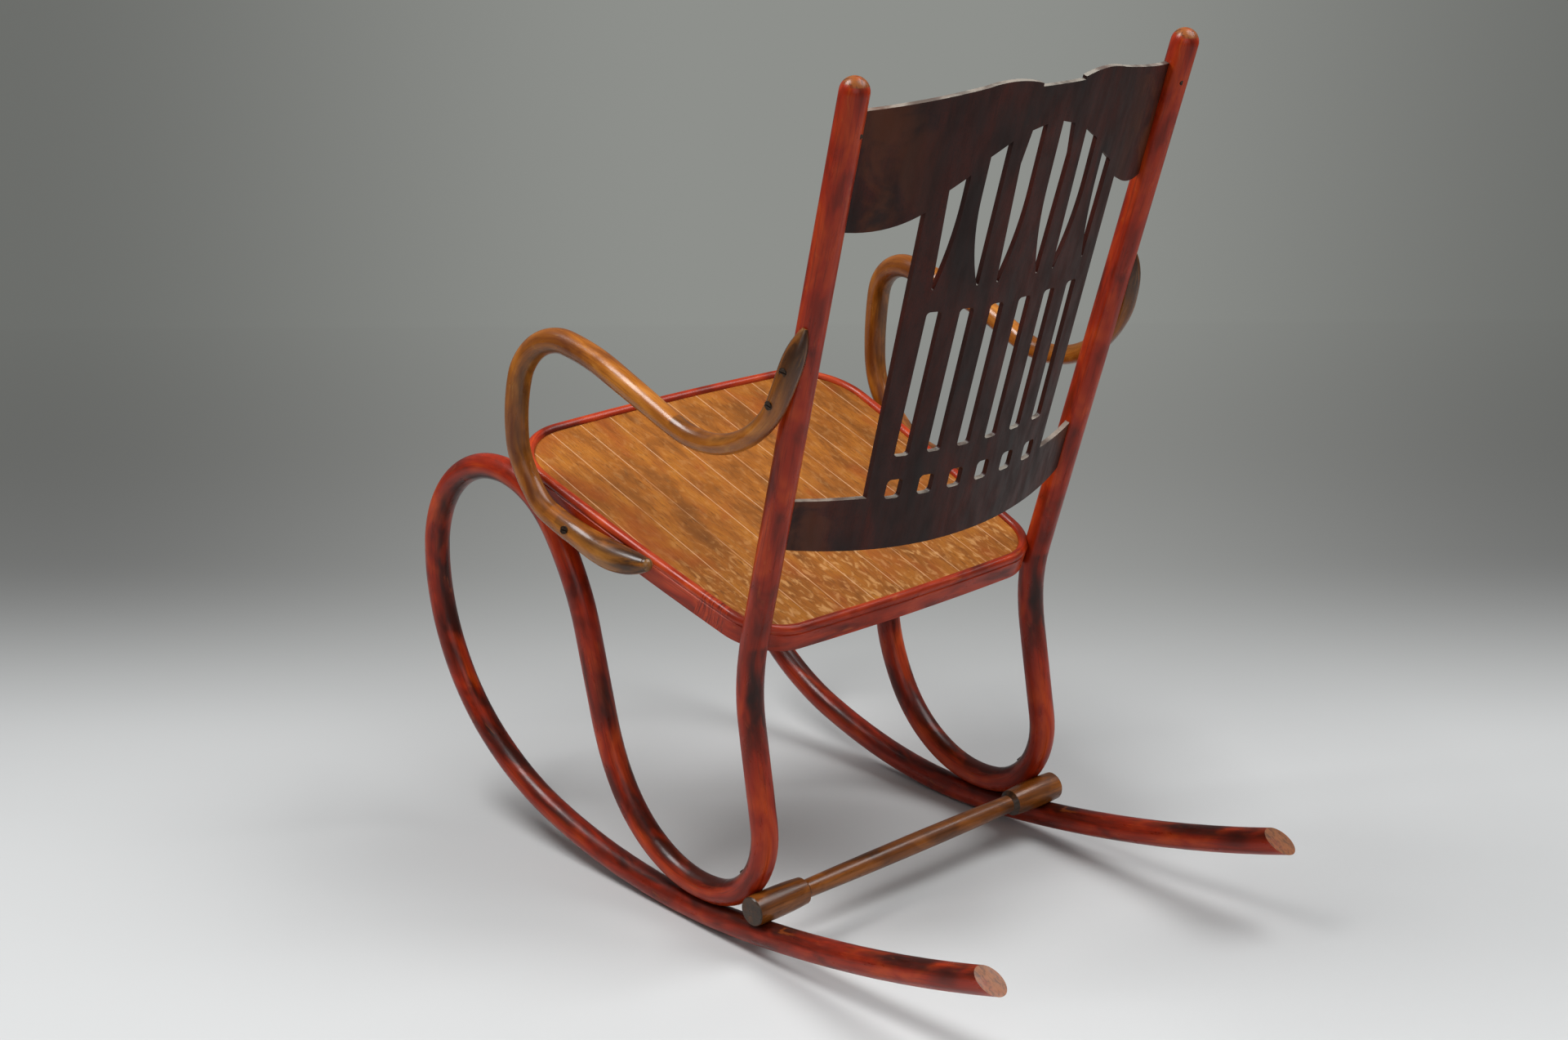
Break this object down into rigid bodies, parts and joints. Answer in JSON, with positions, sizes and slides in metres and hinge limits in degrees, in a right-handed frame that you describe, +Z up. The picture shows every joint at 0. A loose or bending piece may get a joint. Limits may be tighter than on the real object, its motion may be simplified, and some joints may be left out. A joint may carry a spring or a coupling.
{
  "type": "bentwood rocking chair",
  "caption": "Bentwood rocking chair with looped side rods and runners, scrolled arms, a bead-edged seat and a bowed back panel pierced with slots and flame shapes.",
  "frame": {"origin": "on the floor, at the middle of the chair's outline seen from above", "axes": "+Z up, the sitter faces -Y, +X is the sitter's left; X = 0 is the plane of symmetry"},
  "size_m": [0.5802, 0.9527, 0.9739],
  "materials": {
    "red_stained_wood": "red stain under worn shellac",
    "amber_wood": "amber shellac with dark handling marks",
    "golden_wood": "worn golden varnish",
    "dark_wood": "dark mahogany stain",
    "dark_steel": "blackened steel"
  },
  "bodies": {
    "root": {"left_side_rod": "red_stained_wood", "right_side_rod": "red_stained_wood", "left_rocker": "red_stained_wood", "right_rocker": "red_stained_wood", "left_arm": "amber_wood", "right_arm": "amber_wood", "seat_rim": "red_stained_wood", "seat_panel": "golden_wood", "back_panel": "dark_wood", "rear_stretcher": "amber_wood", "arm_post_screws": "dark_steel", "arm_seat_screws": "dark_steel", "stretcher_screws": "dark_steel", "post_rim_screws": "dark_steel", "loop_rim_screws": "dark_steel", "rocker_screws": "dark_steel", "back_panel_pins": "dark_steel"}
  },
  "joints": []
}
